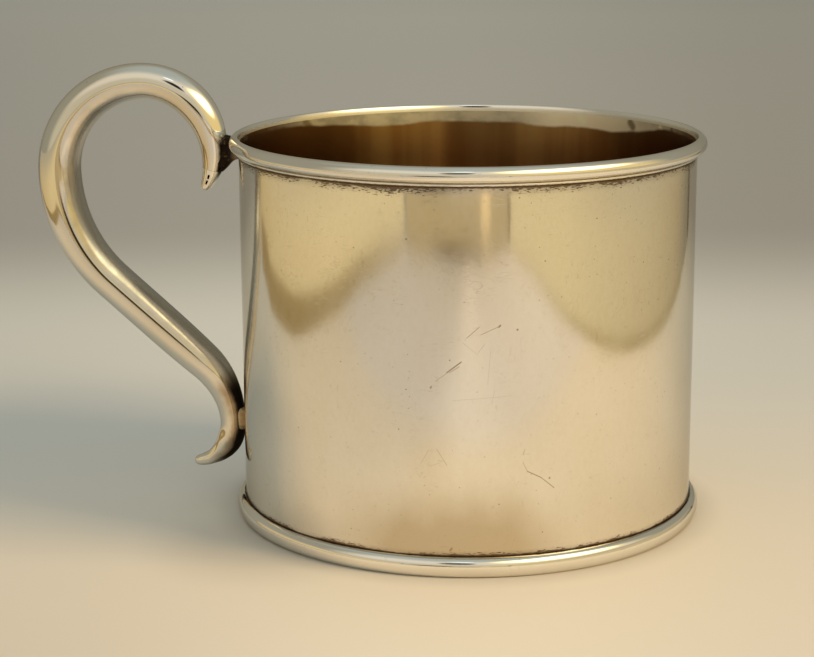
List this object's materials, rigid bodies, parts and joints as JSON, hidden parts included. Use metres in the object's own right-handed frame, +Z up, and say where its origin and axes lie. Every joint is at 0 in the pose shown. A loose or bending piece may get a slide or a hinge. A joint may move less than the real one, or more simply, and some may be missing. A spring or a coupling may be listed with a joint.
{
  "type": "silver cup",
  "caption": "Small straight-sided silver cup with a half-round rim and foot, and a hollow scroll handle soldered to one side.",
  "frame": {"origin": "on the table, at the centre of the box round the cup and its handle; the cup's own axis is 16.6 mm from it towards +X", "axes": "+Z up along the cup's axis, +X away from the handle, the handle in the XZ plane on the -X side"},
  "size_m": [0.1092, 0.076, 0.0721],
  "materials": {
    "polished_silver": "worn polished silver with fine scratches and dark tarnish in the seams",
    "silver_inside": "brown-tarnished silver inside and under the cup",
    "dark_solder": "black-tarnished silver solder"
  },
  "bodies": {
    "root": {"body_wall": "polished_silver", "bottom_plate": "silver_inside", "rim_moulding": "polished_silver", "foot_moulding": "polished_silver", "handle_tube": "polished_silver", "handle_upper_cap": "polished_silver", "handle_lower_tip": "polished_silver", "rim_bracket": "dark_solder", "lower_peg": "dark_solder"}
  },
  "joints": []
}
